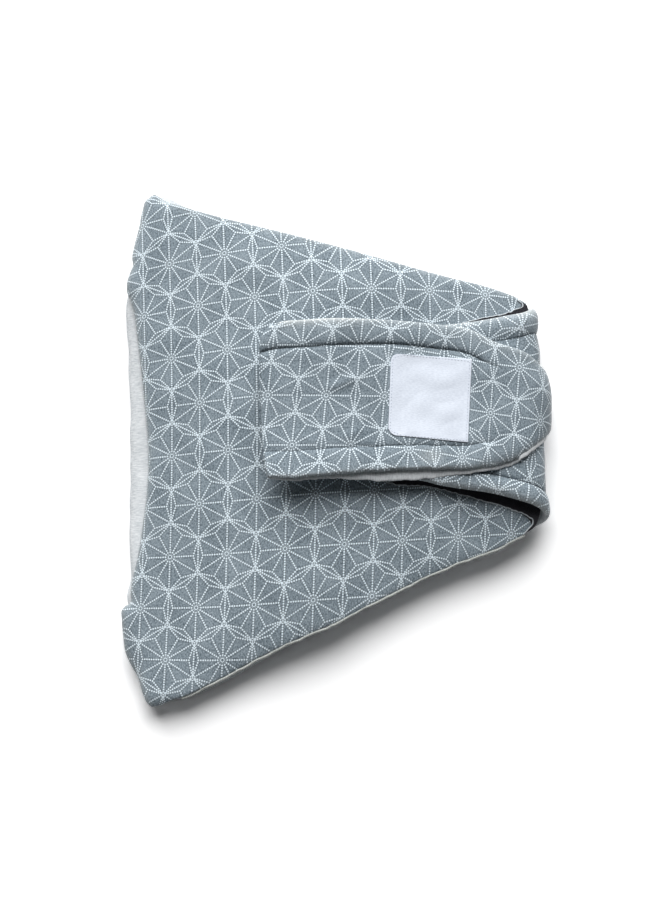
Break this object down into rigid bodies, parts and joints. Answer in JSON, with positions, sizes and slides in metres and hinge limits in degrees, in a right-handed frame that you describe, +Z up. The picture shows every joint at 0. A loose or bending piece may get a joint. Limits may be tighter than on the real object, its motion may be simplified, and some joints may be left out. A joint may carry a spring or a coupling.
{
  "type": "folded padded wrap band",
  "caption": "Folded padded textile band with a printed cover, a lined fold, and a wing and an outer tab that close round its narrow end with hook and loop tape",
  "frame": {"origin": "middle of the bounding box in X and Y, on the surface that the folded band lies on", "axes": "+X from the fold to the closed narrow end, +Y along the fold towards the less sloped long edge, +Z up out of the front face"},
  "size_m": [0.2547, 0.3046, 0.042],
  "materials": {
    "print_cloth": "matte",
    "lining_cloth": "matte",
    "padding": "matte",
    "fastener_tape": "matte",
    "thread": "matte",
    "label_cloth": "satin"
  },
  "bodies": {
    "back_half": {"back_cover": "print_cloth", "back_padding": "padding", "back_lining": "lining_cloth", "back_fold_lining": "lining_cloth", "wing_root": "print_cloth"},
    "front_half": {"front_cover": "print_cloth", "front_padding": "padding", "front_lining": "lining_cloth", "front_fold_lining": "lining_cloth", "loop_panel": "fastener_tape", "loop_edging": "thread"},
    "wing": {"wing_cover": "print_cloth", "wing_wadding": "padding", "wing_lining": "lining_cloth", "wing_hook_patch": "fastener_tape", "wing_stitch_upper": "thread", "wing_stitch_lower": "thread"},
    "tab": {"tab_cover": "print_cloth", "tab_wadding": "padding", "tab_lining": "lining_cloth", "tab_hook_patch": "fastener_tape", "tab_stitch_upper": "thread", "tab_stitch_lower": "thread", "label": "label_cloth", "label_stitching": "thread"}
  },
  "joints": [
    {"name": "wing_swing", "type": "hinge", "parent": "back_half", "child": "wing", "pos_m": [0.10644, 0, 0.01805], "axis": [0, 1, 0], "range_deg": [0, 65]},
    {"name": "tab_peel", "type": "hinge", "parent": "wing", "child": "tab", "pos_m": [0.10644, 0, 0.01805], "axis": [0, 1, 0], "range_deg": [0, 80]},
    {"name": "band_unfold", "type": "hinge", "parent": "back_half", "child": "front_half", "pos_m": [-0.1274, 0, 0.0143], "axis": [0, -1, 0], "range_deg": [0, 3]}
  ],
  "couplings": [
    {"joint": "band_unfold", "follows": "wing_swing", "ratio": 0.035}
  ]
}
